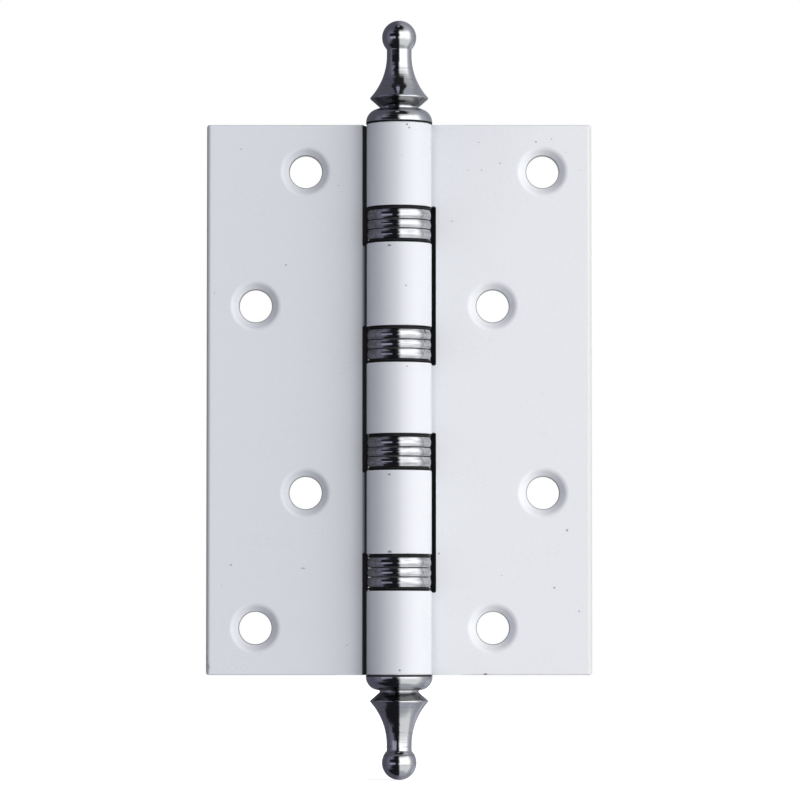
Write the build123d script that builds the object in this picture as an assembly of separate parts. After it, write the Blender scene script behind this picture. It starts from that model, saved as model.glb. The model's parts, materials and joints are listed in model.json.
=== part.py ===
from build123d import *
import math
import os

# Ball bearing butt hinge, in millimetres, shown open flat.
# The pin stands along Z with its middle at the origin. The countersunk faces look to -Y.
# The frame leaf lies at +X and carries three knuckles. The door leaf lies at -X and carries two.

# Leaves, each bent from one sheet
leaf_height = 100.0
leaf_reach = 35.0  # pin axis to the outer edge
sheet_thickness = 2.5
closed_gap = 1.8  # between the faces of the two leaves when the door is shut
front_edge_radius = 0.8  # outer edge, countersunk side
leaf_corner_radius = 0.5
face_edge_radius = 0.25  # top and bottom edges, countersunk side

# Rolled knuckles
middle_knuckle_length = 13.0
curl_angle = 60.0  # where the sheet leaves the roll, from the leaf's direction
swage_radius = 5.5  # back of the reverse bend between the roll and the flat leaf
seam_gap = 0.25  # between the end of the curl and the sheet
knuckle_edge_radius = 0.3
notch_clearance = 0.85  # radial, between a knuckle and the hollow edge of the other leaf's notch
notch_relief = 0.4  # the hollow runs past the knuckle's end by this
notch_corner_radius = 0.35

# Countersunk screw holes, staggered in four rows
hole_diameter = 5.9
countersink_diameter = 8.5
countersink_angle = 90.0
rim_radius = 1.0  # soft edge of the countersink
near_hole_x = 17.0
far_hole_x = 26.1
outer_row_z = 41.5
inner_row_z = 17.0

# Pin
pin_diameter = 6.7
running_clearance = 0.05  # radial, between the pin and everything that turns on it
pin_shoulder_drop = 0.2  # the pin stops this far inside the barrel
spigot_diameter = 4.0
spigot_length = 6.0
spigot_clearance = 0.05
spigot_end_space = 0.6
pin_chamfer = 0.3

# Ball bearings, one between each pair of knuckles
bearing_diameter = 11.8
race_rib_height = 1.75
race_shoulder_height = 0.6
race_shoulder_step = 0.6  # the shoulder is this much smaller in radius than the rib
cage_gap = 0.1  # between the cage and each race
cage_bore_clearance = 0.1
cage_wall = 0.1  # thinnest wall beside a pocket
rib_crown = 0.18  # how far a rib swells from its edges to its middle
ball_count = 8
ball_proud = 0.2  # how far a ball stands out of each side of the cage
ball_clearance = 0.05  # to the pocket and to the track

# Finials, turned, heights from the seat on the barrel
collar_round_radius = 2.45
collar_round_height = 0.35
collar_diameter = 12.04
waist_diameter = 7.1
waist_height = 3.05
rim_diameter = 10.56
rim_height = 4.72
rim_round = 0.3
neck_diameter = 4.5
neck_length = 1.07  # plain neck between the curve from the rim and the knob
knob_diameter = 6.24
knob_height = 15.83  # its centre
knob_neck_radius = 0.4  # hollow where the knob meets the neck

# Worked out from the sizes above
pin_radius = pin_diameter / 2
bore_radius = pin_radius + running_clearance
knuckle_radius = bore_radius + sheet_thickness
bearing_radius = bearing_diameter / 2
cage_bore_radius = pin_radius + cage_bore_clearance
cage_edge_radius = bearing_radius - rib_crown
ball_pitch_radius = (cage_bore_radius + cage_edge_radius) / 2
pocket_radius = (cage_edge_radius - cage_bore_radius) / 2 - cage_wall
ball_radius = pocket_radius - ball_clearance
cage_height = 2 * (ball_radius - ball_proud)
slot_height = 2 * (race_shoulder_height + race_rib_height + cage_gap) + cage_height
end_knuckle_length = (leaf_height - middle_knuckle_length - 4 * slot_height) / 4
face_y = closed_gap / 2
back_y = face_y + sheet_thickness
leaf_top = leaf_height / 2
beyond = 2 * (knuckle_radius + sheet_thickness)  # lets a cutter run past what it cuts


def knuckle_spans():
    """Lower and upper Z of the five knuckles, from the top down."""
    lengths = [end_knuckle_length] * 5
    lengths[2] = middle_knuckle_length
    spans = []
    top = leaf_top
    for length in lengths:
        spans.append((top - length, top))
        top -= length + slot_height
    return spans


knuckles = knuckle_spans()
slots = [(lower[1], upper[0]) for upper, lower in zip(knuckles, knuckles[1:])]


def leaf_section():
    """The sheet seen from above: roll, reverse bend, flat leaf with its rounded outer edge."""
    angle = math.radians(curl_angle)
    out = Vector(math.cos(angle), math.sin(angle))
    along = Vector(math.sin(angle), -math.cos(angle))
    drop = (knuckle_radius + swage_radius) * math.sin(angle) - swage_radius - back_y
    straight = along * (drop / math.cos(angle))
    bend_centre = out * (knuckle_radius + swage_radius) + straight
    bend_turn = 90 - curl_angle
    tip_distance = bore_radius - seam_gap
    tip_in = curl_angle - math.degrees(math.acos(tip_distance / bore_radius))
    tip_out = curl_angle - math.degrees(math.acos(tip_distance / knuckle_radius))
    roll_out = CenterArc((0, 0), knuckle_radius, curl_angle, 360 - curl_angle + tip_out)
    roll_in = CenterArc((0, 0), bore_radius, curl_angle, 360 - curl_angle + tip_in)
    bend_back = CenterArc(bend_centre, swage_radius, 180 + curl_angle, bend_turn)
    bend_face = CenterArc(bend_centre, swage_radius + sheet_thickness, 180 + curl_angle, bend_turn)
    round_start = Vector(leaf_reach, face_y + front_edge_radius)
    round_end = Vector(leaf_reach - front_edge_radius, face_y)
    outline = [
        roll_out,
        Line(roll_out @ 0, bend_back @ 0),
        bend_back,
        Line(bend_back @ 1, (leaf_reach, back_y)),
        Line((leaf_reach, back_y), round_start),
        CenterArc((round_end.X, round_start.Y), front_edge_radius, 270, 90),
        Line(round_end, bend_face @ 1),
        bend_face,
        Line(bend_face @ 0, roll_in @ 0),
        roll_in,
        Line(roll_in @ 1, roll_out @ 1),
    ]
    return make_face(Curve() + outline)


def upright_slab(outline):
    """A cutter through the leaf from an outline drawn in X and Z."""
    return extrude(Plane.XZ * outline, amount=beyond, both=True)


def notch(bottom, top):
    """Room for the other leaf's knuckle and its bearings, hollowed round the pin's axis."""
    height = top - bottom
    middle = (top + bottom) / 2
    core = Pos(knuckle_radius / 2, middle) * Rectangle(knuckle_radius, height)
    edge_round = min(notch_corner_radius, 0.45 * notch_clearance)
    rim_x = knuckle_radius + notch_clearance / 2
    rim = Pos(rim_x, middle) * RectangleRounded(notch_clearance, height + 2 * notch_relief, edge_round)
    seam = Pos(knuckle_radius, middle) * Rectangle(notch_clearance, height)
    return revolve(Plane.XZ * (core + rim + seam), Axis.Z)


def knuckle_edge_cutter(z, up):
    """What a softened outer edge takes off a knuckle's end face at height z."""
    r = knuckle_edge_radius
    corner = Vector(knuckle_radius, z)
    inner = Vector(knuckle_radius - r, z)
    lower = Vector(knuckle_radius, z - up * r)
    bow = Vector(knuckle_radius - r, z - up * r) + Vector(1, up) * (r / math.sqrt(2))
    outline = [Line(inner, corner), Line(corner, lower), ThreePointArc(lower, bow, inner)]
    return revolve(Plane.XZ * make_face(Curve() + outline), Axis.Z)


def face_edge_cutter(up):
    """Softens the top or bottom edge of the countersunk face, clear of the barrel."""
    r = face_edge_radius
    z = up * leaf_top
    corner = Vector(face_y, z)
    inner = Vector(face_y, z - up * r)
    deep = Vector(face_y + r, z)
    bow = Vector(face_y + r, z - up * r) + Vector(-1, up) * (r / math.sqrt(2))
    outline = [Line(inner, corner), Line(corner, deep), ThreePointArc(deep, bow, inner)]
    start = knuckle_radius + swage_radius
    bar = extrude(Plane.YZ * make_face(Curve() + outline), amount=leaf_reach - start)
    return Pos(start, 0, 0) * bar


def screw_hole(x, z):
    """Through hole with a countersink whose rim is soft."""
    half_angle = math.radians(countersink_angle / 2)
    hole = hole_diameter / 2
    sink = countersink_diameter / 2
    depth = (sink - hole) / math.tan(half_angle)
    tangent = rim_radius * math.tan((math.pi / 2 - half_angle) / 2)
    rim_out = Vector(sink + tangent, 0)
    rim_in = Vector(sink - tangent * math.sin(half_angle), -tangent * math.cos(half_angle))
    outline = [
        Line((0, 1), (rim_out.X, 1)),
        Line((rim_out.X, 1), rim_out),
        CenterArc((rim_out.X, -rim_radius), rim_radius, 90, 90 - countersink_angle / 2),
        Line(rim_in, (hole, -depth)),
        Line((hole, -depth), (hole, -beyond)),
        Line((hole, -beyond), (0, -beyond)),
        Line((0, -beyond), (0, 1)),
    ]
    cutter = revolve(Plane.XZ * make_face(Curve() + outline), Axis.Z)
    return Pos(x, face_y, z) * Rot(90, 0, 0) * cutter


def free_spans(own_knuckles):
    """Lower and upper Z of the stretches of a leaf's inner edge that carry no knuckle."""
    uppers = [leaf_top + beyond] + [bottom for bottom, top in own_knuckles]
    lowers = [top for bottom, top in own_knuckles] + [-leaf_top - beyond]
    reach = leaf_top - slot_height / 2
    return [(low, high) for low, high in zip(lowers, uppers) if low < reach and high > -reach]


def leaf(own_knuckles, hole_places):
    """One leaf at +X: the sheet, cut to its own knuckles and drilled."""
    body = extrude(leaf_section(), amount=leaf_top, both=True)
    outline = Rectangle(2 * leaf_reach, leaf_height)
    body &= upright_slab(fillet(outline.vertices(), leaf_corner_radius))
    cuts = [notch(low, high) for low, high in free_spans(own_knuckles)]
    for low, high in own_knuckles:
        cuts += [knuckle_edge_cutter(high, 1), knuckle_edge_cutter(low, -1)]
    cuts += [face_edge_cutter(1), face_edge_cutter(-1)]
    cuts += [screw_hole(x, z) for x, z in hole_places]
    return body - cuts


def frame_leaf():
    rows = [outer_row_z, inner_row_z, -inner_row_z, -outer_row_z]
    columns = [far_hole_x, near_hole_x, far_hole_x, near_hole_x]
    return leaf(knuckles[0::2], list(zip(columns, rows)))


def door_leaf():
    rows = [outer_row_z, inner_row_z, -inner_row_z, -outer_row_z]
    columns = [near_hole_x, far_hole_x, near_hole_x, far_hole_x]
    return mirror(leaf(knuckles[1::2], list(zip(columns, rows))), about=Plane.YZ)


def pin():
    half = leaf_top - pin_shoulder_drop
    tip = leaf_top + spigot_length
    spigot = spigot_diameter / 2
    points = [
        (0, -tip),
        (spigot - pin_chamfer, -tip),
        (spigot, -tip + pin_chamfer),
        (spigot, -half),
        (pin_radius - pin_chamfer, -half),
        (pin_radius, -half + pin_chamfer),
        (pin_radius, half - pin_chamfer),
        (pin_radius - pin_chamfer, half),
        (spigot, half),
        (spigot, tip - pin_chamfer),
        (spigot - pin_chamfer, tip),
        (0, tip),
    ]
    return revolve(Plane.XZ * make_face(Polyline(points, close=True)), Axis.Z)


def crowned_wall(bottom, top):
    """Outer wall of a bearing ring, swelling in the middle."""
    edge = bearing_radius - rib_crown
    return ThreePointArc((edge, bottom), (bearing_radius, (top + bottom) / 2), (edge, top))


def upper_race(middle):
    """The race above the cage: rib, smaller shoulder and the ball track in its lower face."""
    face = cage_height / 2 + cage_gap
    rib_top = face + race_rib_height
    race_top = rib_top + race_shoulder_height
    shoulder = bearing_radius - race_shoulder_step
    track_half = math.sqrt(pocket_radius**2 - face**2)
    track_in = Vector(ball_pitch_radius - track_half, face)
    track_out = Vector(ball_pitch_radius + track_half, face)
    wall = crowned_wall(face, rib_top)
    outline = [
        wall,
        Polyline(wall @ 1, (shoulder, rib_top), (shoulder, race_top), (bore_radius, race_top)),
        Polyline((bore_radius, race_top), (bore_radius, face), track_in),
        ThreePointArc(track_in, (ball_pitch_radius, pocket_radius), track_out),
        Line(track_out, wall @ 0),
    ]
    return Pos(0, 0, middle) * revolve(Plane.XZ * make_face(Curve() + outline), Axis.Z)


def lower_race(middle):
    return Pos(0, 0, middle) * mirror(upper_race(0), about=Plane.XY)


def cage(middle):
    """The middle ring, with one pocket for each ball."""
    half = cage_height / 2
    wall = crowned_wall(-half, half)
    back = Polyline(wall @ 1, (cage_bore_radius, half), (cage_bore_radius, -half), wall @ 0)
    ring = revolve(Plane.XZ * make_face(Curve() + [wall, back]), Axis.Z)
    pocket = Cylinder(pocket_radius, 2 * cage_height)
    pockets = PolarLocations(ball_pitch_radius, ball_count) * pocket
    return Pos(0, 0, middle) * (ring - pockets)


def balls(middle):
    places = PolarLocations(ball_pitch_radius, ball_count)
    return Compound(children=[Pos(0, 0, middle) * place * Sphere(ball_radius) for place in places])


def finial():
    """Turned finial standing on its seat at Z = 0, with a blind bore for the pin's spigot."""
    collar = collar_diameter / 2
    collar_middle = collar - collar_round_radius
    seat = collar_middle + math.sqrt(collar_round_radius**2 - collar_round_height**2)
    collar_top = Vector(collar_middle, collar_round_height + collar_round_radius)
    rim = rim_diameter / 2
    rim_centre = Vector(rim - rim_round, rim_height)
    rim_under = rim_centre + Vector(1, -1).normalized() * rim_round
    rim_over = rim_centre + Vector(1, 1).normalized() * rim_round
    neck = neck_diameter / 2
    knob = knob_diameter / 2
    knob_low = math.degrees(math.acos(neck / knob))
    neck_height = knob_height - math.sqrt(knob**2 - neck**2) - neck_length
    flare = TangentArc((neck, neck_height), rim_over, tangent=(0, -1))
    knob_arc = CenterArc((0, knob_height), knob, -knob_low, 90 + knob_low)
    bore = spigot_diameter / 2 + spigot_clearance
    depth = spigot_length + spigot_end_space
    outline = [
        Polyline(knob_arc @ 1, (0, depth), (bore, depth), (bore, 0), (seat, 0)),
        ThreePointArc((seat, 0), (collar, collar_round_height), collar_top),
        Polyline(collar_top, (waist_diameter / 2, waist_height), rim_under),
        ThreePointArc(rim_under, (rim, rim_height), rim_over),
        flare,
        Line((neck, neck_height), knob_arc @ 0),
        knob_arc,
    ]
    section = make_face(Curve() + outline)
    join = section.vertices().sort_by_distance(knob_arc @ 0)[0]
    return revolve(Plane.XZ * fillet(join, knob_neck_radius), Axis.Z)


def top_finial():
    return Pos(0, 0, leaf_top) * finial()


def bottom_finial():
    return mirror(top_finial(), about=Plane.XY)


parts = {
    "frame_leaf": frame_leaf(),
    "door_leaf": door_leaf(),
    "pin": pin(),
    "top_finial": top_finial(),
    "bottom_finial": bottom_finial(),
}
for number, (bottom, top) in enumerate(slots, start=1):
    middle = (bottom + top) / 2
    parts[f"bearing_{number}_upper_race"] = upper_race(middle)
    parts[f"bearing_{number}_lower_race"] = lower_race(middle)
    parts[f"bearing_{number}_cage"] = cage(middle)
    parts[f"bearing_{number}_balls"] = balls(middle)

os.makedirs("parts", exist_ok=True)
for name, shape in parts.items():
    export_step(shape, f"parts/{name}.step")
    box = shape.bounding_box()
    print(f"{name}: {shape.volume:.1f} mm3, X {box.min.X:.2f} to {box.max.X:.2f},"
          f" Y {box.min.Y:.2f} to {box.max.Y:.2f}, Z {box.min.Z:.2f} to {box.max.Z:.2f}")
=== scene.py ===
# %% [markdown]
# # A ball bearing butt hinge, open flat
#
# The hinge has two leaves of white enamelled sheet, rolled at one edge into knuckles round a pin.
# Four chromed ball bearings sit between the knuckles, and a turned finial closes the pin at each end.
# The shapes come ready made from the CAD model. This notebook gives them their finishes, their
# grease, their studio light and a camera. Lengths on the object are in millimetres in the text and
# in the masks, and Blender's own unit is the metre.

import json
import math

import bmesh
import bpy
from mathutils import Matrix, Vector, noise

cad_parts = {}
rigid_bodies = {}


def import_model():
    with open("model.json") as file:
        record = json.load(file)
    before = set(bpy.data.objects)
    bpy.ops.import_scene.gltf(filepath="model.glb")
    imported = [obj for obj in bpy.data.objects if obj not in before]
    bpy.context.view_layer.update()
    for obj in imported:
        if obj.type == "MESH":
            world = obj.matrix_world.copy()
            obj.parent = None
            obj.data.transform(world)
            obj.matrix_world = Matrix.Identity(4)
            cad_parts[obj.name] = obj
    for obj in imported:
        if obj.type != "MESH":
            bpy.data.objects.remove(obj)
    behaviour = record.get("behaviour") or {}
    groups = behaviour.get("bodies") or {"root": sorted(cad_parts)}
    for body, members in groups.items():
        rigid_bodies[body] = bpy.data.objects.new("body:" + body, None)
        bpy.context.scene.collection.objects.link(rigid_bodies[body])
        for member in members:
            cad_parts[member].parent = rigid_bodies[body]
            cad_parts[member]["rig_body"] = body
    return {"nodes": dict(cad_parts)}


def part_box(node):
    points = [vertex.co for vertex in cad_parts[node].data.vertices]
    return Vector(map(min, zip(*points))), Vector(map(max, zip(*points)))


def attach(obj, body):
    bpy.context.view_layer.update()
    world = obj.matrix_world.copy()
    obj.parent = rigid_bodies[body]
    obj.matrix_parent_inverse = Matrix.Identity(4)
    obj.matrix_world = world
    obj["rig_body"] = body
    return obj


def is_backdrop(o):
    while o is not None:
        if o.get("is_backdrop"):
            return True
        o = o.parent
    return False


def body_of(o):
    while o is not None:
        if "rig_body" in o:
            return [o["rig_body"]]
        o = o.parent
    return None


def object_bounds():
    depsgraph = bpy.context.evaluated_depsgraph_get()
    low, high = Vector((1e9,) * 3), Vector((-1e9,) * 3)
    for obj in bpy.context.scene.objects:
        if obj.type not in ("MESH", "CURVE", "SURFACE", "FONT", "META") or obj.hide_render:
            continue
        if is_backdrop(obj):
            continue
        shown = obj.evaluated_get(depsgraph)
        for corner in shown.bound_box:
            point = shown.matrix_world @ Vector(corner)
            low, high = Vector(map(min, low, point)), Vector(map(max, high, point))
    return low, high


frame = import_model()
cad_low, cad_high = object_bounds()
MM = 0.001
print("parts:", len(frame["nodes"]), "box in mm:", [round(side / MM, 1) for side in cad_high - cad_low])

# %% [markdown]
# ## Sizes that the finishes follow
#
# Paint stops where the knuckles run on the bearings, and grease gathers there. These places are
# painted black, for the grease and for the shade in them. A finish that knows where those places
# are can follow them by itself. The CAD boxes give the sizes, so the finishes stay in place if the
# hinge changes size. X runs across the leaves, Y from the viewer to the back and Z up the pin, and
# the pin's axis is the zero of X and Y.

# %% Sizes read from the CAD boxes
def box_mm(node):
    low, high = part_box(node)
    return Vector(low) / MM, Vector(high) / MM


leaf_low, leaf_high = box_mm("frame_leaf")
LEAF_TOP = leaf_high.z
LEAF_REACH = leaf_high.x
BARREL_RADIUS = -leaf_low.y
BEARINGS = sorted({name.rsplit("_", 1)[0] for name in frame["nodes"] if name.endswith("_cage")})
BEARING_HEIGHTS = [sum(corner.z for corner in box_mm(name + "_cage")) / 2 for name in BEARINGS]
CAGE_LOW, CAGE_HIGH = box_mm(BEARINGS[0] + "_cage")
CAGE_HALF = (CAGE_HIGH.z - CAGE_LOW.z) / 2
print("barrel radius", round(BARREL_RADIUS, 2), "bearings at", [round(z, 1) for z in BEARING_HEIGHTS])

# %% [markdown]
# ## Small helpers for shader nodes
#
# A procedural finish is a tree of small nodes. Adding and wiring each one by hand takes four lines,
# so these helpers do it in one: `add` makes a node, `maths` does a sum on numbers and `vectors` one
# on places, `fade` is a soft step between two values, and `blend` mixes two colours by a mask.

# %% Node helpers
def add(tree, kind, inputs=None, **settings):
    made = tree.nodes.new(kind)
    for name, value in settings.items():
        setattr(made, name, value)
    wire(tree, made, inputs or {})
    return made


def wire(tree, made, inputs):
    for key, value in inputs.items():
        if isinstance(value, bpy.types.NodeSocket):
            tree.links.new(value, made.inputs[key])
        else:
            made.inputs[key].default_value = value


def maths(tree, operation, *values):
    return add(tree, "ShaderNodeMath", dict(enumerate(values)), operation=operation).outputs[0]


def vectors(tree, operation, *values):
    return add(tree, "ShaderNodeVectorMath", dict(enumerate(values)), operation=operation).outputs


def fade(tree, value, start, end, low=0.0, high=1.0):
    sockets = {"Value": value, "From Min": start, "From Max": end, "To Min": low, "To Max": high}
    return add(tree, "ShaderNodeMapRange", sockets, interpolation_type="SMOOTHSTEP").outputs["Result"]


def blend(tree, mask, first, second):
    return add(tree, "ShaderNodeMix", {0: mask, 6: first, 7: second}, data_type="RGBA").outputs[2]


# %% [markdown]
# Masks are numbers from 0 to 1. Two of them multiplied leave only what both cover, and the larger
# of two covers what either does. `cloud` is noise in space, and `bands` is noise that changes along
# one line only. Their last two numbers say how fine the noise is and how much detail it has.

# %% Helpers for masks and noise
def times(tree, first, second):
    return maths(tree, "MULTIPLY", first, second)


def larger(tree, first, second):
    return maths(tree, "MAXIMUM", first, second)


def size_of(tree, value):
    return maths(tree, "ABSOLUTE", value)


def away_from(tree, value, middle):
    return size_of(tree, maths(tree, "SUBTRACT", value, middle))


def scaled(tree, vector, factor):
    return add(tree, "ShaderNodeVectorMath", {0: vector, "Scale": factor}, operation="SCALE").outputs[0]


def cloud(tree, place, scale, detail):
    return add(tree, "ShaderNodeTexNoise", {"Vector": place, "Scale": scale, "Detail": detail}).outputs[0]


def bands(tree, along, pitch, detail):
    sockets = {"W": times(tree, along, pitch), "Scale": 1.0, "Detail": detail}
    return add(tree, "ShaderNodeTexNoise", sockets, noise_dimensions="1D").outputs[0]


# %% [markdown]
# A colour in a shader is red, green and blue from 0 to 1, and a fourth number that stays at 1.
# `grey` makes a neutral or tinted one, and `darker` takes a share of another colour.

# %% Helpers for colours
def grey(level, tint=(1.0, 1.0, 1.0)):
    return (level * tint[0], level * tint[1], level * tint[2], 1.0)


def darker(colour, share):
    return tuple(share * level for level in colour[:3]) + (1.0,)


# %% [markdown]
# A node group is a tree of its own with named inputs and outputs. It is made once, and each
# material that needs it places it with its own values.

# %% Helpers for node groups
def new_group(name, inputs, outputs):
    tree = bpy.data.node_groups.new(name, "ShaderNodeTree")
    for title, value in inputs.items():
        kind = "NodeSocketFloat" if isinstance(value, float) else "NodeSocketVector"
        socket = tree.interface.new_socket(title, in_out="INPUT", socket_type=kind)
        socket.default_value = value
    for title in outputs:
        tree.interface.new_socket(title, in_out="OUTPUT", socket_type="NodeSocketFloat")
    return tree, tree.nodes.new("NodeGroupInput").outputs, tree.nodes.new("NodeGroupOutput").inputs


def place_group(tree, group, inputs):
    made = tree.nodes.new("ShaderNodeGroup")
    made.node_tree = group
    wire(tree, made, inputs)
    return made.outputs


ORIGIN = (0.0, 0.0, 0.0)

# %% [markdown]
# ## Where a point lies round the pin
#
# The parts that turn are all round the pin, so most masks ask two things of a point: how far it is
# from the pin's axis, and whether its surface faces away from the pin or towards it. One group
# answers both, and every finish uses it.

# %% Group: round the pin
ROUND_PIN, given, result = new_group(
    "Round the pin", {"Position": ORIGIN, "Normal": (0.0, 0.0, 1.0)}, ["Distance", "Outward", "Upright"])
tree = ROUND_PIN
level = vectors(tree, "MULTIPLY", given["Position"], (1.0, 1.0, 0.0))[0]
ray = vectors(tree, "NORMALIZE", level)[0]
upright = add(tree, "ShaderNodeSeparateXYZ", {0: given["Normal"]}).outputs["Z"]
tree.links.new(vectors(tree, "LENGTH", level)["Value"], result["Distance"])
tree.links.new(vectors(tree, "DOT_PRODUCT", ray, given["Normal"])["Value"], result["Outward"])
tree.links.new(size_of(tree, upright), result["Upright"])
print("group:", ROUND_PIN.name)

# %% [markdown]
# ## A single speck
#
# The enamel has a few specks of grit baked in and some small chips. Each is a spot with a ragged
# edge at its own place on the face. The spot could be a tiny mesh, but a mask costs nothing and
# follows the surface. Its Shape leaves depth into the sheet out of the distance, so a speck prints
# straight through a thin layer, and can stretch the spot along X.

# %% Group: speck
SPECK, given, result = new_group(
    "Speck", {"Position": ORIGIN, "Place": ORIGIN, "Shape": (1.0, 0.0, 1.0), "Size": 0.2}, ["Mask"])
tree = SPECK
offset = vectors(tree, "SUBTRACT", given["Position"], given["Place"])[0]
distance = vectors(tree, "LENGTH", vectors(tree, "MULTIPLY", offset, given["Shape"])[0])["Value"]
ragged = cloud(tree, given["Position"], 5.0, 1.0)
grown = times(tree, given["Size"], maths(tree, "ADD", ragged, 0.5))
tree.links.new(fade(tree, distance, grown, times(tree, grown, 0.35)), result["Mask"])
print("group:", SPECK.name)

# %% [markdown]
# ## Dust that settled anywhere
#
# Besides the specks that the eye notices there is a sprinkling of finer ones on both sides of the
# leaves. A Voronoi texture splits space into cells with one point each, and only a small share of
# the cells get a spot.

# %% Group: sprinkled dust
DUST, given, result = new_group(
    "Sprinkled dust", {"Position": ORIGIN, "Spacing": 3.0, "Size": 0.1, "Share": 0.2}, ["Mask"])
tree = DUST
density = maths(tree, "DIVIDE", 1.0, given["Spacing"])
cells = add(tree, "ShaderNodeTexVoronoi", {"Vector": given["Position"], "Scale": density}).outputs
distance = times(tree, cells["Distance"], given["Spacing"])
spot = fade(tree, distance, given["Size"], times(tree, given["Size"], 0.4))
chance = add(tree, "ShaderNodeSeparateColor", {0: cells["Color"]}).outputs[0]
chosen = maths(tree, "LESS_THAN", chance, given["Share"])
tree.links.new(times(tree, spot, chosen), result["Mask"])
print("group:", DUST.name)

# %% [markdown]
# ## The skin of baked enamel
#
# Baked enamel is never dead flat. It has a slow swell left by the sheet and a fine orange peel
# where the wet coat pulled together. Both are heights in millimetres, small enough that only the
# reflections show them. The Tone output is for small changes of shade: a fine grain for the most
# part, with a little of the slow swell.

# %% Group: orange peel
PEEL, given, result = new_group(
    "Orange peel", {"Position": ORIGIN, "Swell": 0.01, "Peel": 0.001}, ["Height", "Tone"])
tree = PEEL
slow = cloud(tree, given["Position"], 0.09, 1.0)
fine = cloud(tree, given["Position"], 1.4, 1.5)
grain = cloud(tree, given["Position"], 6.0, 1.0)
height = maths(tree, "ADD", times(tree, slow, given["Swell"]), times(tree, fine, given["Peel"]))
tree.links.new(height, result["Height"])
tree.links.new(maths(tree, "MULTIPLY_ADD", slow, 0.3, times(tree, grain, 0.7)), result["Tone"])
print("group:", PEEL.name)

# %% [markdown]
# ## Marks of the lathe
#
# The finials and races were turned, so their surface has rings all round, some broad and shallow
# and some as fine as a hair. Plating follows them. A noise that only knows the height along the
# pin gives rings, and a little of the place round the pin keeps them from being perfect. The Rings
# output is for colour: a few thin dull rings, broken off here and there.

# %% Group: turning marks
TURNED, given, result = new_group(
    "Turning marks", {"Position": ORIGIN, "Broad": 0.006, "Fine": 0.0006}, ["Height", "Tone", "Rings"])
tree = TURNED
height = add(tree, "ShaderNodeSeparateXYZ", {0: given["Position"]}).outputs["Z"]
wander = cloud(tree, given["Position"], 0.35, 0.0)
along = maths(tree, "ADD", height, times(tree, wander, 0.25))
broad = bands(tree, along, 1.3, 1.0)
fine = bands(tree, height, 9.0, 2.0)
relief = maths(tree, "ADD", times(tree, broad, given["Broad"]), times(tree, fine, given["Fine"]))
tree.links.new(relief, result["Height"])
tree.links.new(fine, result["Tone"])
thin = fade(tree, bands(tree, along, 2.4, 1.0), 0.50, 0.74)
broken = fade(tree, cloud(tree, given["Position"], 0.5, 1.0), 0.46, 0.66)
tree.links.new(times(tree, thin, broken), result["Rings"])
print("group:", TURNED.name)

# %% [markdown]
# ## Starting a finish
#
# Each material starts the same way: a Principled shader, the place on the object in millimetres,
# and the group that knows the pin. The place comes from object coordinates. They stay with a part
# when it swings, so a speck never slides over the enamel.

# %% Helpers that start and close a material
def start_finish(name):
    material = bpy.data.materials.new(name)
    material.use_nodes = True
    tree = material.node_tree
    shader = tree.nodes["Principled BSDF"]
    seat = add(tree, "ShaderNodeTexCoord").outputs
    place = scaled(tree, seat["Object"], 1 / MM)
    pin = place_group(tree, ROUND_PIN, {"Position": place, "Normal": seat["Normal"]})
    return material, tree, shader, place, pin


def bump_from(tree, shader, height):
    relief = add(tree, "ShaderNodeBump", {"Strength": 1.0, "Distance": MM, "Height": height})
    tree.links.new(relief.outputs[0], shader.inputs["Normal"])


# %% [markdown]
# ## White enamel on the leaves
#
# The leaves are mild steel with a white baked enamel that leans a little to blue. It covers the
# faces and the outside of the knuckles. Inside the notches, and on the knuckles' ends, the coat is
# rubbed off and painted black, for grease and for the shade in these narrow gaps. This draws the
# dark frame round each bearing.
#
# The specks are listed one by one, as X, Z and radius, because their places are part of how this
# piece looks. One list serves the flat leaf and one the knuckles in front of it. A fourth number
# stretches a speck along X.

# %% Where the specks are
FRAME_SPECKS = [
    (14.5, 46.8, 0.20), (18.3, 43.0, 0.22), (24.9, 46.9, 0.24), (27.7, 47.4, 0.20), (30.3, 44.9, 0.16),
    (12.5, 41.7, 0.18), (15.0, 41.7, 0.20), (9.6, 32.4, 0.20), (25.9, 1.2, 0.16), (26.1, -6.4, 0.14),
    (30.4, -23.8, 0.28), (18.6, -32.0, 0.18), (28.1, -34.2, 0.26), (32.6, -38.5, 0.22), (7.2, -28.0, 0.24),
]
FRAME_KNUCKLE_SPECKS = [
    (1.4, 49.4, 0.26), (1.8, 48.8, 0.24), (0.5, 43.7, 0.16), (1.4, 5.6, 0.22), (0.1, -49.1, 0.28),
]
DOOR_SPECKS = [
    (-28.8, 45.6, 0.20), (-20.6, 24.4, 0.22), (-33.6, 19.3, 0.20), (-11.1, 38.9, 0.18),
    (-30.5, -30.1, 0.24), (-32.1, -33.8, 0.16), (-9.5, -44.6, 0.18), (-6.8, -16.0, 0.14),
]
DOOR_KNUCKLE_SPECKS = [
    (-1.8, 27.5, 0.28, 1.6), (1.2, 20.2, 0.22), (-1.8, -13.9, 0.26, 1.4), (-1.7, -27.8, 0.32, 1.6),
]
print("specks:", sum(map(len, (FRAME_SPECKS, FRAME_KNUCKLE_SPECKS, DOOR_SPECKS, DOOR_KNUCKLE_SPECKS))))

# %% [markdown]
# Chips and scuffs are larger and stretched. Each is X, Z, radius and its stretch along X, where
# less than 1 makes it tall: the frame leaf has a scratch near its top hole and a nick in its lower
# edge, and the door leaf has lost its enamel at the lower corner.

# %% Where the chips and scuffs are
FRAME_CHIPS = [(32.9, 41.7, 0.10, 6.0), (15.6, -49.9, 0.35, 1.5)]
DOOR_CHIPS = [
    (-34.75, -48.5, 0.95, 0.6), (-34.85, -46.9, 0.80, 0.35), (-34.95, -44.9, 0.90, 0.2),
    (-34.9, 49.0, 0.3, 0.3), (-17.4, -30.7, 0.2, 2.5),
]
print("chips and scuffs:", len(FRAME_CHIPS) + len(DOOR_CHIPS))

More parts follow.
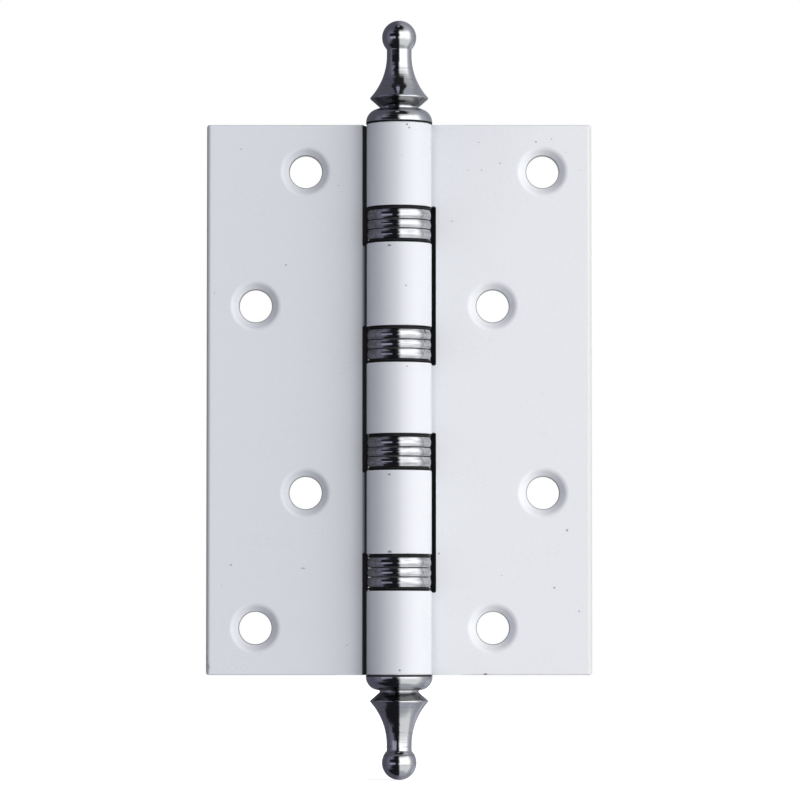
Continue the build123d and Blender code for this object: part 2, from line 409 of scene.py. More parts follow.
# %% [markdown]
# A list becomes one mask: a speck group for each entry, and the larger of them all. A spot smaller
# than the bold ones is fainter too, as the eye blurs it into the white round it.

# %% From a list to a mask
BOLD_SPOT = 0.25


def spots(tree, place, listed):
    mask = None
    for x, z, size, *stretch in listed:
        shape = (1 / stretch[0] if stretch else 1.0, 0.0, 1.0)
        sockets = {"Position": place, "Place": (x, 0.0, z), "Shape": shape, "Size": size}
        spot = times(tree, place_group(tree, SPECK, sockets)["Mask"], min(1.0, (size / BOLD_SPOT) ** 2))
        mask = spot if mask is None else larger(tree, mask, spot)
    return mask


# %% [markdown]
# The leaf's face lies behind the front of the knuckles, so the same X and Z can be on either. The
# depth, which is Y, sorts them: the knuckles' list counts only in front of the pin's axis, and the
# leaf's list only from there to a depth that lies inside the sheet. So no speck prints through to
# the leaf's back, which has only the sprinkled dust and the chips that follow.

# %% Masks: specks on the leaf and on the knuckles
KNUCKLE_FRONT = -0.4
SPECK_DEPTH = 2.4


def speck_masks(tree, place, depth, leaf_specks, knuckle_specks):
    in_front = fade(tree, depth, 0.0, KNUCKLE_FRONT)
    on_face = maths(tree, "SUBTRACT", fade(tree, depth, SPECK_DEPTH + 0.2, SPECK_DEPTH), in_front)
    on_leaf = times(tree, spots(tree, place, leaf_specks), on_face)
    on_knuckle = times(tree, spots(tree, place, knuckle_specks), in_front)
    return larger(tree, on_leaf, on_knuckle), on_face


# %% [markdown]
# Black is painted where a surface near the pin faces inwards, which a low Outward finds, and on
# the knuckles' ends, which face up or down. It stands for grease and for the shade in these narrow
# gaps. The leaves' own top and bottom edges stay clean.

# %% Mask: grease and painted shade round the barrel
BLACK_REACH = BARREL_RADIUS + 1.15


# The mask paints black for grease, and paints the shade in the notches and on the knuckles' ends.
def grease_and_shade_mask(tree, height, pin, dark_from):
    hollow = fade(tree, pin["Outward"], dark_from, dark_from - 0.2)
    below_top = fade(tree, size_of(tree, height), LEAF_TOP - 0.1, LEAF_TOP - 0.3)
    ends = times(tree, fade(tree, pin["Upright"], 0.55, 0.8), below_top)
    near = fade(tree, pin["Distance"], BLACK_REACH + 0.1, BLACK_REACH)
    return times(tree, larger(tree, hollow, ends), near)


# %% [markdown]
# Three more places are painted darker, as shade. The corner between leaf and barrel gets the
# barrel's painted shade. The rounded outer edge gets painted shade. The straight throat of each
# screw hole, below its countersink, is painted dark as shade. Its depth finds it: away from the
# barrel and from the leaf's own edges, no other surface lies that deep between the face and the back.

# %% Masks: painted shade in the corner, on the outer edge and in the screw holes
CORNER_REACH = 9.2
CORNER_SOFT = 2.6
EDGE_ROUND = 0.8
EDGE_BAND = 1.0
HOLES_FROM = 11.0
THROAT_DEPTH = 2.2
LEAF_BACK = 3.4


# Painted shade: the barrel's shadow in the corner between leaf and barrel.
def corner_shade_mask(tree, pin, on_face):
    close = fade(tree, pin["Distance"], CORNER_REACH, CORNER_REACH - CORNER_SOFT)
    past_barrel = fade(tree, pin["Distance"], BARREL_RADIUS + 0.1, BARREL_RADIUS + 0.4)
    return times(tree, times(tree, close, past_barrel), on_face)


# Painted shade on the rounded outer edge.
def edge_shade_mask(tree, sideways):
    return fade(tree, sideways, LEAF_REACH - EDGE_ROUND, LEAF_REACH - 0.4 * EDGE_ROUND)


# Painted shade in the straight throat of a screw hole.
def throat_shade_mask(tree, sideways, depth, height):
    left_right = fade(tree, sideways, LEAF_REACH - EDGE_BAND + 0.1, LEAF_REACH - EDGE_BAND - 0.1)
    up_down = fade(tree, size_of(tree, height), LEAF_TOP - EDGE_BAND + 0.1, LEAF_TOP - EDGE_BAND - 0.1)
    inside = times(tree, times(tree, left_right, up_down), fade(tree, sideways, HOLES_FROM - 0.1, HOLES_FROM))
    deep = fade(tree, depth, THROAT_DEPTH - 0.22, THROAT_DEPTH - 0.04)
    before_back = fade(tree, depth, LEAF_BACK - 0.02, LEAF_BACK - 0.2)
    return times(tree, inside, times(tree, deep, before_back))


# %% [markdown]
# Now the enamel itself. The colours are laid one over the other, from the clean coat, with painted
# shade in the corner, on the outer edge and in the screw holes among the layers, to the black of
# grease and painted shade on top. Chips and grit also sit a little lower than the coat, and what is
# black or chipped loses its gloss.
#
# `mirrored` dims the enamel for mirror rays only. In the photograph the leaves lean back a little,
# so the bearings beside them mirror the studio and hardly see the leaf. The leaves are flat here,
# and a dimmer leaf in the mirror gives the bearings the same look.

# %% Colours and strengths of the enamel
ENAMEL = (0.765, 0.781, 0.828, 1.0)
GRIT = (0.16, 0.15, 0.16, 1.0)
# Black for grease, and also painted shade in the narrow gaps and recesses round the barrel.
GREASE_AND_SHADE_BLACK = (0.004, 0.004, 0.006, 1.0)
# Painted shade on the rounded outer edge.
EDGE_SHADE = (0.585, 0.59, 0.60, 1.0)
# Painted shade in the screw holes' throats.
THROAT_SHADE = (0.22, 0.22, 0.24, 1.0)
# Painted shade in the corner by the barrel.
CORNER_SHADE = (0.30, 0.30, 0.34, 1.0)
DUST_STRENGTH = 0.35
GRIT_STRENGTH = 0.8
CHIP_STRENGTH = 0.85
EDGE_STRENGTH = 0.85
GLOSSY = 0.27
LESS_GLOSSY = 0.30
GLOSS_LOST = 0.5
PIT_DEPTH = 0.03
print("enamel:", ENAMEL[:3])

# %% The enamel
def enamel(name, leaf_specks, knuckle_specks, chips, dark_from, mirrored, corner_shading):
    material, tree, shader, place, pin = start_finish(name)
    x, depth, height = add(tree, "ShaderNodeSeparateXYZ", {0: place}).outputs
    sideways = size_of(tree, x)
    skin = place_group(tree, PEEL, {"Position": place, "Swell": 0.003, "Peel": 0.0006})
    dust = place_group(tree, DUST, {"Position": place, "Spacing": 4.0, "Size": 0.10, "Share": 0.10})["Mask"]
    grit, on_face = speck_masks(tree, place, depth, leaf_specks, knuckle_specks)
    chipped = times(tree, spots(tree, place, chips), CHIP_STRENGTH)
    blackened = grease_and_shade_mask(tree, height, pin, dark_from)

    tone = blend(tree, skin["Tone"], darker(ENAMEL, 0.99), ENAMEL)
    # Painted shade in the door leaf's corner by the barrel.
    tone = blend(tree, times(tree, corner_shade_mask(tree, pin, on_face), corner_shading), tone, CORNER_SHADE)
    tone = blend(tree, times(tree, dust, DUST_STRENGTH), tone, GRIT)
    tone = blend(tree, times(tree, grit, GRIT_STRENGTH), tone, GRIT)
    tone = blend(tree, chipped, tone, GRIT)
    # Painted shade on the rounded outer edge.
    tone = blend(tree, times(tree, edge_shade_mask(tree, sideways), EDGE_STRENGTH), tone, EDGE_SHADE)
    # Painted shade in the throats of the screw holes.
    tone = blend(tree, throat_shade_mask(tree, sideways, depth, height), tone, THROAT_SHADE)
    # Black for grease and painted shade in the gaps round the barrel.
    tone = blend(tree, blackened, tone, GREASE_AND_SHADE_BLACK)
    mirror_ray = add(tree, "ShaderNodeLightPath").outputs["Is Glossy Ray"]
    tree.links.new(blend(tree, mirror_ray, tone, scaled(tree, tone, mirrored)), shader.inputs["Base Color"])

    rough = fade(tree, skin["Tone"], 0.3, 0.7, GLOSSY, LESS_GLOSSY)
    lost = times(tree, larger(tree, blackened, chipped), GLOSS_LOST)
    tree.links.new(maths(tree, "ADD", rough, lost), shader.inputs["Roughness"])
    shader.inputs["IOR"].default_value = 1.5
    pits = times(tree, larger(tree, grit, chipped), -PIT_DEPTH)
    bump_from(tree, shader, maths(tree, "ADD", skin["Height"], pits))
    return material


# %% [markdown]
# On the frame leaf only surfaces that face the pin squarely are painted black, and on the door leaf
# also those that face it a little. The door leaf alone has painted shade in its corner by the
# barrel, and it is dimmed more for mirror rays.

# %% The two enamels
FRAME_ENAMEL = enamel(
    "White enamel, frame leaf", FRAME_SPECKS, FRAME_KNUCKLE_SPECKS, FRAME_CHIPS,
    dark_from=-0.65, mirrored=0.8, corner_shading=0.0)
DOOR_ENAMEL = enamel(
    "White enamel, door leaf", DOOR_SPECKS, DOOR_KNUCKLE_SPECKS, DOOR_CHIPS,
    dark_from=-0.15, mirrored=0.2, corner_shading=0.22)
print("enamel nodes:", len(FRAME_ENAMEL.node_tree.nodes), len(DOOR_ENAMEL.node_tree.nodes))

# %% [markdown]
# ## Chrome on the finials and the bearings
#
# Chrome plate is a mirror with a faint blue cast. What the eye reads as chrome is the studio in it,
# broken up by the rings that the lathe left under the plate. Grease lies in the lines between the
# ribs of a bearing. The shoulders above and below them are painted black, for their grease and for
# their shade. The ribs repeat at every bearing, so the height is measured from the nearest bearing's
# middle. Fingers also leave faint smears on the ribs, drawn out round the pin.

# %% Grease, painted shade and smears on a bearing
RIB_LINE = CAGE_HALF + 0.05
SHOULDER_RADIUS = CAGE_HIGH.x - 0.45
SMEAR_STRETCH = (0.35, 0.35, 2.0)
SMEAR_STRENGTH = 0.42
SMEAR_TONE = grey(0.20)


def nearest_bearing(tree, height):
    nearest = None
    for middle in BEARING_HEIGHTS:
        gap = away_from(tree, height, middle)
        nearest = gap if nearest is None else maths(tree, "MINIMUM", nearest, gap)
    return nearest


def bearing_dirt_and_shade(tree, place, height, pin):
    line = fade(tree, away_from(tree, nearest_bearing(tree, height), RIB_LINE), 0.14, 0.05)
    # Painted shade: the shoulders are painted black for their grease and for the shade in the step.
    shoulder = fade(tree, pin["Distance"], SHOULDER_RADIUS + 0.1, SHOULDER_RADIUS)
    drawn = vectors(tree, "MULTIPLY", place, SMEAR_STRETCH)[0]
    smears = times(tree, fade(tree, cloud(tree, drawn, 1.0, 0.5), 0.42, 0.72), SMEAR_STRENGTH)
    return larger(tree, line, shoulder), smears, SMEAR_TONE


# %% [markdown]
# A finial has a black seam against the leaf, and a dull zone between its waist and the rim of its
# flare, where a polishing wheel hardly reaches. The knob of the lower finial also has a fine dark
# line turned round it.

# %% Grease and dull plate on a finial
FINIAL_SEAM = 0.32
FLARE_WAIST = 3.2
FLARE_RIM = 4.7
DULL_TONE = grey(0.25)
LOWER_GROOVE = box_mm("bottom_finial")[0].z + 4.55
GROOVE_STRENGTH = 0.75


def finial_dirt(tree, place, height, pin):
    level = size_of(tree, height)
    seam = fade(tree, level, LEAF_TOP + FINIAL_SEAM, LEAF_TOP + 0.7 * FINIAL_SEAM)
    groove = fade(tree, away_from(tree, height, LOWER_GROOVE), 0.16, 0.05)
    past_leaf = maths(tree, "SUBTRACT", level, LEAF_TOP)
    under_flare = times(tree, fade(tree, past_leaf, FLARE_RIM, FLARE_RIM - 0.25),
                        fade(tree, past_leaf, FLARE_WAIST - 0.1, FLARE_WAIST + 0.2))
    return larger(tree, seam, times(tree, groove, GROOVE_STRENGTH)), under_flare, DULL_TONE


# %% [markdown]
# Both chromes are the same plate with other turning marks and other dark marks, dirt on both and
# painted shade on the bearings, so one function makes them, and it is handed the function that
# knows those marks. Where the black covers the plate the surface is no longer a metal, and it is
# rough.

# %% The chrome
CHROME = (0.62, 0.63, 0.655, 1.0)
RING_TONE = grey(0.30)
METAL_LOST = 0.7
GREASE_ROUGHNESS = 0.8


def chrome(name, broad, fine, ring_depth, darkening):
    material, tree, shader, place, pin = start_finish(name)
    height = add(tree, "ShaderNodeSeparateXYZ", {0: place}).outputs["Z"]
    marks = place_group(tree, TURNED, {"Position": place, "Broad": broad, "Fine": fine})
    blackened, dulled, dull_tone = darkening(tree, place, height, pin)
    tone = blend(tree, marks["Tone"], darker(CHROME, 0.94), CHROME)
    tone = blend(tree, times(tree, marks["Rings"], ring_depth), tone, RING_TONE)
    tone = blend(tree, dulled, tone, dull_tone)
    tree.links.new(blend(tree, blackened, tone, GREASE_AND_SHADE_BLACK), shader.inputs["Base Color"])
    metal = maths(tree, "SUBTRACT", 1.0, times(tree, blackened, METAL_LOST))
    tree.links.new(metal, shader.inputs["Metallic"])
    rough = fade(tree, marks["Tone"], 0.3, 0.7, 0.06, 0.12)
    rough = maths(tree, "ADD", rough, times(tree, blackened, GREASE_ROUGHNESS))
    tree.links.new(rough, shader.inputs["Roughness"])
    bump_from(tree, shader, marks["Height"])
    return material


FINIAL_CHROME = chrome("Polished chrome, finials", 0.014, 0.0006, 0.55, finial_dirt)
BEARING_CHROME = chrome("Polished chrome, bearings", 0.030, 0.0008, 0.5, bearing_dirt_and_shade)
print("chrome nodes:", len(FINIAL_CHROME.node_tree.nodes), len(BEARING_CHROME.node_tree.nodes))

# %% [markdown]
# ## Steel of the pin and the balls
#
# The pin is ground steel, a little brown where it has run in grease. The balls are hardened steel,
# lapped bright. Both hide inside the barrel, but they have their finish for when the hinge is taken
# apart. They use the same turning marks with other depths.

# %% The steels
def steel(name, colour, worn_colour, fine, roughness):
    material, tree, shader, place, pin = start_finish(name)
    marks = place_group(tree, TURNED, {"Position": place, "Broad": 0.0004, "Fine": fine})
    film = fade(tree, cloud(tree, place, 0.8, 2.0), 0.45, 0.75)
    tree.links.new(blend(tree, film, colour, worn_colour), shader.inputs["Base Color"])
    rough = fade(tree, marks["Tone"], 0.3, 0.7, roughness, 1.5 * roughness)
    tree.links.new(rough, shader.inputs["Roughness"])
    shader.inputs["Metallic"].default_value = 1.0
    bump_from(tree, shader, marks["Height"])
    return material


PIN_STEEL = steel("Ground steel, pin", (0.50, 0.49, 0.47, 1.0), (0.33, 0.30, 0.26, 1.0), 0.0008, 0.24)
BALL_STEEL = steel("Lapped steel, balls", (0.62, 0.62, 0.63, 1.0), (0.52, 0.52, 0.52, 1.0), 0.0001, 0.08)
print("steels:", PIN_STEEL.name, "and", BALL_STEEL.name)

# %% [markdown]
# ## Which part gets which finish
#
# A CAD part keeps its mesh and its place. Only the material in its slot changes.

# %% Dressing the parts
FINISHES = {
    "frame_leaf": FRAME_ENAMEL,
    "door_leaf": DOOR_ENAMEL,
    "pin": PIN_STEEL,
    "top_finial": FINIAL_CHROME,
    "bottom_finial": FINIAL_CHROME,
}
for name in BEARINGS:
    FINISHES[name + "_upper_race"] = BEARING_CHROME
    FINISHES[name + "_lower_race"] = BEARING_CHROME
    FINISHES[name + "_cage"] = BEARING_CHROME
    FINISHES[name + "_balls"] = BALL_STEEL

for name, part in frame["nodes"].items():
    part.data.materials.clear()
    part.data.materials.append(FINISHES[name])
print("dressed", len(frame["nodes"]), "parts in", len(set(FINISHES.values())), "finishes")

# %% [markdown]
# ## Grease in the recesses
#
# Above and below its ribs each bearing is stepped in a little, and black grease has packed the step
# right up to the knuckle's end. The black ring also stands for the step's shade, as painted shade,
# and it is what draws the strong black line there. A ring of grease is a lathe shape: a bulged
# outline turned round the pin. Noise moves its outer side by a few hundredths of a millimetre,
# because grease is never turned true. It stays just short of the metal on every side.

# %% The outline of a grease ring
RECESS_HEIGHT = 0.60
RECESS_RADIUS = 5.30
GREASE_PROUD = 0.47
GREASE_MARGIN = 0.02
GREASE_WOBBLE = 0.05
WOBBLE_REACH = 2.0
GREASE_SIDES = 120
GREASE_BULGE = (0.0, 0.7, 0.92, 1.0, 0.92, 0.7, 0.0)


def grease_outline(turn, low, high, seed):
    around = Vector((WOBBLE_REACH * math.cos(turn), WOBBLE_REACH * math.sin(turn), seed))
    proud = GREASE_PROUD + GREASE_WOBBLE * noise.noise(around)
    outline = []
    for step, bulge in enumerate(GREASE_BULGE):
        reach = RECESS_RADIUS + GREASE_MARGIN + proud * bulge
        height = low + (high - low) * step / (len(GREASE_BULGE) - 1)
        outline.append(Vector((reach * math.cos(turn), reach * math.sin(turn), height)) * MM)
    return outline


# %% Turning the outline into a ring
# The ring is grease, and also a dark body put in as painted shade in the step.
def grease_and_shade_ring(name, low, high, seed):
    shape = bmesh.new()
    columns = []
    for side in range(GREASE_SIDES):
        turn = 2 * math.pi * side / GREASE_SIDES
        columns.append([shape.verts.new(point) for point in grease_outline(turn, low, high, seed)])
    for column, after in zip(columns, columns[1:] + columns[:1]):
        for step in range(len(column)):
            above = (step + 1) % len(column)
            shape.faces.new((column[step], after[step], after[above], column[above]))
    mesh = bpy.data.meshes.new(name)
    bmesh.ops.recalc_face_normals(shape, faces=shape.faces)
    shape.to_mesh(mesh)
    shape.free()
    mesh.polygons.foreach_set("use_smooth", [True] * len(mesh.polygons))
    ring = bpy.data.objects.new(name, mesh)
    bpy.context.scene.collection.objects.link(ring)
    return ring


# %% [markdown]
# Old grease is black, lumpy and half dull, and here it is also painted shade in the steps. One
# material serves all eight rings.

# %% The grease and painted shade
GREASE_HIGHS = grey(0.012)
LUMP_HEIGHT = 0.05


# Black for grease and for painted shade in the steps.
def grease_and_shade_finish(name):
    material, tree, shader, place, pin = start_finish(name)
    lumps = cloud(tree, place, 1.6, 3.0)
    tree.links.new(blend(tree, lumps, GREASE_AND_SHADE_BLACK, GREASE_HIGHS), shader.inputs["Base Color"])
    tree.links.new(fade(tree, lumps, 0.3, 0.7, 0.6, 0.85), shader.inputs["Roughness"])
    bump_from(tree, shader, times(tree, lumps, LUMP_HEIGHT))
    return material


BLACK_GREASE_AND_SHADE = grease_and_shade_finish("Dark grease and painted shade")
print("material:", BLACK_GREASE_AND_SHADE.name)

# %% [markdown]
# Each race gets its ring at the end that faces a knuckle, and the ring rides on the body that the
# race belongs to, so it goes wherever its race goes.

# %% A ring of grease and painted shade for each race
for number, bearing in enumerate(BEARINGS):
    for race in ("upper_race", "lower_race"):
        node = f"{bearing}_{race}"
        low, high = (corner.z for corner in box_mm(node))
        if race == "upper_race":
            low = high - RECESS_HEIGHT
        else:
            high = low + RECESS_HEIGHT
        ring = grease_and_shade_ring(node + "_grease_and_shade", low + GREASE_MARGIN, high - GREASE_MARGIN, number + len(race))
        ring.data.materials.append(BLACK_GREASE_AND_SHADE)
        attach(ring, body_of(frame["nodes"][node])[0])

# %% [markdown]
# ## The studio that the chrome mirrors
#
# A chromed post shows the whole studio squeezed into a few stripes: dull grey from the left, black
# from the side of the camera, then hard white from a softbox, then grey again. The look of the
# metal is made by choosing those stripes. Here they are painted on the world by direction, with
# the azimuth counted from the camera's side towards the right, and the elevation from the horizon.
# A card is a patch between two azimuths and two elevations with a soft edge.

# %% Group: studio card
CARD, given, result = new_group(
    "Studio card",
    {"Azimuth": 0.0, "Elevation": 0.0, "Left": -30.0, "Right": 30.0, "Low": -30.0, "High": 30.0, "Soft": 3.0},
    ["Mask"])
CARD_SIDES = (
    ("Azimuth", "Left", 1.0), ("Azimuth", "Right", -1.0),
    ("Elevation", "Low", 1.0), ("Elevation", "High", -1.0),
)
tree = CARD
outer = times(tree, given["Soft"], -0.5)
inner = times(tree, given["Soft"], 0.5)
mask = 1.0
for value, edge, sign in CARD_SIDES:
    inside = times(tree, maths(tree, "SUBTRACT", given[value], given[edge]), sign)
    mask = times(tree, mask, fade(tree, inside, outer, inner))
tree.links.new(mask, result["Mask"])
print("group:", CARD.name)

# %% [markdown]
# The world's own colour is a dim violet wall on the left and a cooler, lighter one on the right.

# %% The world's walls
world = bpy.data.worlds.new("Studio")
bpy.context.scene.world = world
world.use_nodes = True
studio = world.node_tree
studio.nodes.clear()
VIOLET = (0.92, 0.92, 1.18)
COOL = (0.95, 0.98, 1.08)
look = add(studio, "ShaderNodeTexCoord").outputs["Generated"]
axis = add(studio, "ShaderNodeSeparateXYZ", {0: look}).outputs
azimuth = maths(studio, "DEGREES", maths(studio, "ARCTAN2", axis["X"], times(studio, axis["Y"], -1.0)))
elevation = maths(studio, "DEGREES", maths(studio, "ARCSINE", axis["Z"]))
walls = blend(studio, fade(studio, axis["X"], -0.2, 0.2), grey(0.12, VIOLET), grey(0.38, COOL))
print("world:", world.name)

# %% [markdown]
# The edges of the black stripe aren't straight: the crowned ribs and turning marks of the real
# hinge break its left edge into teeth, and its right edge wavers. Noise along the elevation moves
# both edges, and the same ribs then break them up here.

# %% Edges of the black stripe
BLACK_FROM = -90.0
TOOTH_LENGTH = 90.0
TOOTH_PITCH = 0.16
WHITE_FROM = -7.0
WAVE_LENGTH = 16.0
WAVE_PITCH = 0.09
teeth = bands(studio, elevation, TOOTH_PITCH, 1.5)
waves = bands(studio, elevation, WAVE_PITCH, 1.0)
black_edge = maths(studio, "MULTIPLY_ADD", teeth, TOOTH_LENGTH, BLACK_FROM)
white_edge = maths(studio, "MULTIPLY_ADD", waves, WAVE_LENGTH, WHITE_FROM)
print("black stripe from about", BLACK_FROM + TOOTH_LENGTH / 2, "to", WHITE_FROM + WAVE_LENGTH / 2, "degrees")

# %% [markdown]
# The cards follow in the order in which they are painted, so a later card covers an earlier one.
# Each is its left and right azimuth, its lower and upper elevation, the width of its soft edge, all
# in degrees, and its shade. The softbox is four cards, each smaller and brighter than the one
# before, because a real one is brightest in the middle and fades over the wall round it. The black
# cards hold one light strip. The ceiling is dark with one lighter patch, which a round shape
# mirrors above its middle. The rear card gives chrome that is seen from behind something to mirror.

# %% The cards
SOFTBOX_CARDS = [
    (0.0, 118.0, -95.0, 95.0, 30.0, grey(0.50, COOL)),
    (0.0, 100.0, -60.0, 56.0, 24.0, grey(0.60)),
    (0.0, 86.0, -52.0, 38.0, 20.0, grey(1.0)),
    (-6.0, 76.0, -8.0, 35.0, 26.0, grey(1.8)),
]
LEFT_WALL_CARDS = [
    (-90.0, -48.0, -26.0, 34.0, 24.0, grey(0.20, VIOLET)),
    (-68.0, -34.0, 26.0, 42.0, 10.0, grey(0.27, VIOLET)),
    (-100.0, 0.0, -95.0, -34.0, 14.0, grey(0.015, VIOLET)),
]
BLACK_CARDS = [
    (black_edge, white_edge, -95.0, 95.0, 18.0, grey(0.014, VIOLET)),
    (-68.0, 0.0, 5.0, 20.0, 5.0, grey(0.014, VIOLET)),
    (-62.0, 0.0, -31.0, -20.0, 5.0, grey(0.014, VIOLET)),
    (-66.0, -25.0, -9.0, 2.0, 5.0, grey(0.45, VIOLET)),
]
CEILING_CARDS = [
    (-28.0, 42.0, 47.0, 95.0, 10.0, grey(0.02)),
    (-68.0, 66.0, 60.0, 95.0, 8.0, grey(0.02)),
    (-34.0, 4.0, 71.0, 84.0, 7.0, grey(0.45, VIOLET)),
]
REAR_CARDS = [
    (118.0, 150.0, -32.0, -10.0, 10.0, grey(0.60, COOL)),
]
CARDS = SOFTBOX_CARDS + LEFT_WALL_CARDS + BLACK_CARDS + CEILING_CARDS + REAR_CARDS
print("cards:", len(CARDS))

# %% Hanging the cards
painted = walls
for left, right, low, high, soft, shade in CARDS:
    sockets = {"Azimuth": azimuth, "Elevation": elevation, "Left": left, "Right": right}
    sockets.update({"Low": low, "High": high, "Soft": soft})
    painted = blend(studio, place_group(studio, CARD, sockets)["Mask"], painted, shade)
print("world nodes:", len(studio.nodes))

# %% [markdown]
# The backdrop is white. For the camera that is a plain strength of 1, which renders as white and
# adds no light to the object. Rays through glass get the same white, and so do mirror rays that
# run to the wall right behind the object, so the metal's edges show the backdrop too.

# %% White backdrop for the camera
BEHIND_FROM = 166.0
BEHIND_FULL = 179.0
BEHIND_TOP = 26.0
BEHIND_LEVEL = 12.0
rays = add(studio, "ShaderNodeLightPath").outputs
behind = times(studio, fade(studio, size_of(studio, azimuth), BEHIND_FROM, BEHIND_FULL),
               fade(studio, size_of(studio, elevation), BEHIND_TOP, BEHIND_LEVEL))
mirrored = times(studio, rays["Is Glossy Ray"], behind)
seen = larger(studio, rays["Is Camera Ray"], larger(studio, rays["Is Transmission Ray"], mirrored))
lit_room = add(studio, "ShaderNodeBackground", {"Color": painted, "Strength": 1.0}).outputs[0]
backdrop = add(studio, "ShaderNodeBackground", {"Color": grey(1.0), "Strength": 1.0}).outputs[0]
both = add(studio, "ShaderNodeMixShader", {0: seen, 1: lit_room, 2: backdrop}).outputs[0]
add(studio, "ShaderNodeOutputWorld", {"Surface": both})
print("world nodes with the backdrop:", len(studio.nodes))

# %% [markdown]
# ## The lamps
#
# A large softbox stands to the right of the camera and gives most of the light. A weaker one on
# the left lifts the shadow side, and one behind lights the hinge's back, which the camera doesn't
# see. All are upright area lamps, and an area lamp's power is its brightness times its area times
# pi. The chrome already sees its bright card in the painted studio, so the lamps themselves are
# hidden from mirror rays and their hard corners never show in the metal.
#
# A lamp is given by its azimuth, half its width, and its lower and upper edge as angles in degrees
# seen from the hinge, then its brightness and colour.

# %% The softboxes
LAMP_DISTANCE = 1.2


def hang_lamp(lamp):
    lamp.visible_camera = False
    lamp.visible_glossy = False
    bpy.context.scene.collection.objects.link(lamp)


def softbox(name, azimuth, spread, low, high, brightness, colour):
    width = 2 * LAMP_DISTANCE * math.tan(math.radians(spread))
    bottom = LAMP_DISTANCE * math.tan(math.radians(low))
    top = LAMP_DISTANCE * math.tan(math.radians(high))
    data = bpy.data.lights.new(name, "AREA")
    data.shape = "RECTANGLE"
    data.size = width
    data.size_y = top - bottom
    data.energy = brightness * math.pi * width * (top - bottom)
    data.color = colour
    lamp = bpy.data.objects.new(name, data)
    turn = math.radians(azimuth)
    lamp.location = (LAMP_DISTANCE * math.sin(turn), -LAMP_DISTANCE * math.cos(turn), (top + bottom) / 2)
    lamp.rotation_euler = (math.radians(90), 0, turn)
    hang_lamp(lamp)
    print(name, round(width, 2), "by", round(top - bottom, 2), "m")


softbox("Softbox", 50.0, 28.0, -15.0, 31.0, 0.97, (1.0, 0.995, 0.945))
softbox("Left scrim", -35.0, 24.0, -20.0, 36.0, 0.66, (0.97, 0.98, 1.06))
softbox("Back light", 172.0, 26.0, -12.0, 36.0, 2.6, (1.0, 1.0, 1.0))

# %% [markdown]
# The right leaf is a shade lighter than the left one in the photograph, because a second lamp is
# feathered on to it. Feathering means that only the edge of the beam touches the subject. A spot
# lamp does this: its cone is aimed far to the right, and the cone's left edge runs down the barrel.

# %% The feathered lamp
FEATHER_DISTANCE = 1.2
FEATHER_HEIGHT = 0.12
FEATHER_AZIMUTH = 40.0
FEATHER_REACH = 0.45
FEATHER_EDGE = 0.0035
FEATHER_POWER = 10.0

turn = math.radians(FEATHER_AZIMUTH)
stand = Vector((FEATHER_DISTANCE * math.sin(turn), -FEATHER_DISTANCE * math.cos(turn), FEATHER_HEIGHT))
aim = Vector((FEATHER_REACH, 0.0, 0.0)) - stand
edge = Vector((FEATHER_EDGE, 0.0, 0.0)) - stand
feather_data = bpy.data.lights.new("Feathered lamp", "SPOT")
feather_data.energy = FEATHER_POWER
feather_data.color = (1.0, 0.98, 0.82)
feather_data.spot_size = 2 * aim.angle(edge)
feather_data.spot_blend = 0.03
feather_data.shadow_soft_size = 0.01
feather = bpy.data.objects.new("Feathered lamp", feather_data)
feather.location = stand
feather.rotation_euler = aim.to_track_quat("-Z", "Y").to_euler()
hang_lamp(feather)
print("feathered cone", round(math.degrees(feather_data.spot_size), 1), "degrees")

# %% [markdown]
# ## A pale floor
#
# The hinge stands on the knob of its lower finial on a pale floor. The floor is a slightly dished
# disc, made with bmesh, whose rings grow wider towards the rim, where nothing needs them close.

# %% The floor
FLOOR_RADIUS = 1.5
FLOOR_RINGS = 24
FLOOR_SIDES = 96
RIM_LIFT = 0.002
floor_mesh = bpy.data.meshes.new("floor")
shape = bmesh.new()
turns = [2 * math.pi * side / FLOOR_SIDES for side in range(FLOOR_SIDES)]
rings = []
for step in range(1, FLOOR_RINGS + 1):
    reach = FLOOR_RADIUS * (step / FLOOR_RINGS) ** 2
    lift = RIM_LIFT * (step / FLOOR_RINGS) ** 8
    rings.append([shape.verts.new((reach * math.cos(turn), reach * math.sin(turn), lift)) for turn in turns])
shape.faces.new(rings[0])
for inner_ring, outer_ring in zip(rings, rings[1:]):
    for side in range(FLOOR_SIDES):
        after = (side + 1) % FLOOR_SIDES
        shape.faces.new((inner_ring[side], outer_ring[side], outer_ring[after], inner_ring[after]))
shape.to_mesh(floor_mesh)
shape.free()
floor = bpy.data.objects.new("floor", floor_mesh)
floor.location.z = cad_low.z
bpy.context.scene.collection.objects.link(floor)
floor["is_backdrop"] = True
print("floor faces:", len(floor_mesh.polygons))

# %% [markdown]
# Its paint is a plain diffuse white with some white of its own, so the floor melts into the
# backdrop and still keeps the hinge's shadow. The white of its own grows towards the rim, which
# the lamps light less. The floor is hidden from mirror and diffuse rays, and so it adds no light.

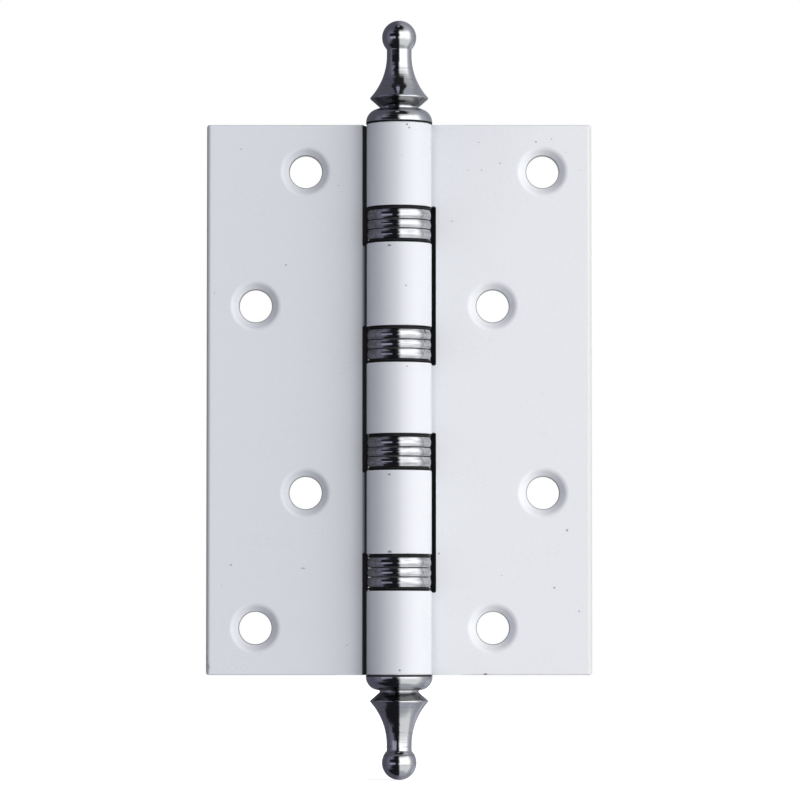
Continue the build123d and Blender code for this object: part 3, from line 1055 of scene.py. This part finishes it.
# %% The floor's paint
FLOOR_PAINT = 0.75
FLOOR_WHITE = 0.62
WHITE_STARTS = 0.3 * FLOOR_RADIUS
WHITE_FULL = 0.7 * FLOOR_RADIUS
paint = bpy.data.materials.new("Pale floor")
paint.use_nodes = True
tree = paint.node_tree
tree.nodes.clear()
seat = add(tree, "ShaderNodeTexCoord").outputs["Object"]
tone = blend(tree, cloud(tree, seat, 6.0, 3.0), grey(FLOOR_PAINT * 0.98), grey(FLOOR_PAINT))
matt = add(tree, "ShaderNodeBsdfDiffuse", {"Color": tone, "Roughness": 0.5}).outputs[0]
away = vectors(tree, "LENGTH", seat)["Value"]
strength = fade(tree, away, WHITE_STARTS, WHITE_FULL, FLOOR_WHITE, 1.0)
glow = add(tree, "ShaderNodeEmission", {"Color": grey(1.0), "Strength": strength}).outputs[0]
both = add(tree, "ShaderNodeAddShader", {0: matt, 1: glow}).outputs[0]
add(tree, "ShaderNodeOutputMaterial", {"Surface": both})
floor_mesh.materials.append(paint)
floor.visible_glossy = False
floor.visible_diffuse = False
floor.visible_shadow = False
print("floor paint:", paint.name)

# %% [markdown]
# ## The camera
#
# The hinge was photographed from 844 mm in front of its pin with a long lens. The lens was about
# 43 mm below the hinge's middle and tipped up to it by not quite 3 degrees, which the curve of the
# knuckles' ends gives away. The lens follows from the scale: the leaves are 551 of 800 pixels high.

# %% The camera
CAMERA_DISTANCE = 0.844
CAMERA_HEIGHT = -0.0426
AIM = Vector((0.00015, 0.0, -0.0002))
LENS_IN_PIXELS = 4660
PICTURE_SIDE = 800
SENSOR_WIDTH = 36.0
lens_data = bpy.data.cameras.new("Camera")
lens_data.sensor_width = SENSOR_WIDTH
lens_data.lens = LENS_IN_PIXELS / PICTURE_SIDE * SENSOR_WIDTH
lens_data.clip_start = 0.05
lens_data.clip_end = 20.0
camera = bpy.data.objects.new("Camera", lens_data)
camera.location = (AIM.x, -CAMERA_DISTANCE, CAMERA_HEIGHT)
camera.rotation_euler = (AIM - camera.location).to_track_quat("-Z", "Y").to_euler()
bpy.context.scene.collection.objects.link(camera)
bpy.context.scene.camera = camera
bpy.context.scene.view_settings.view_transform = "Standard"
print("lens", round(lens_data.lens, 1), "mm")

# %% [markdown]
# ## Measuring
#
# The finishes must not change the hinge's size, so the finished box is printed here, to set
# beside the CAD box printed at the start.

# %% Measure and finish
low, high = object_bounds()
print("finished box in mm:", [round(side / MM, 1) for side in high - low])
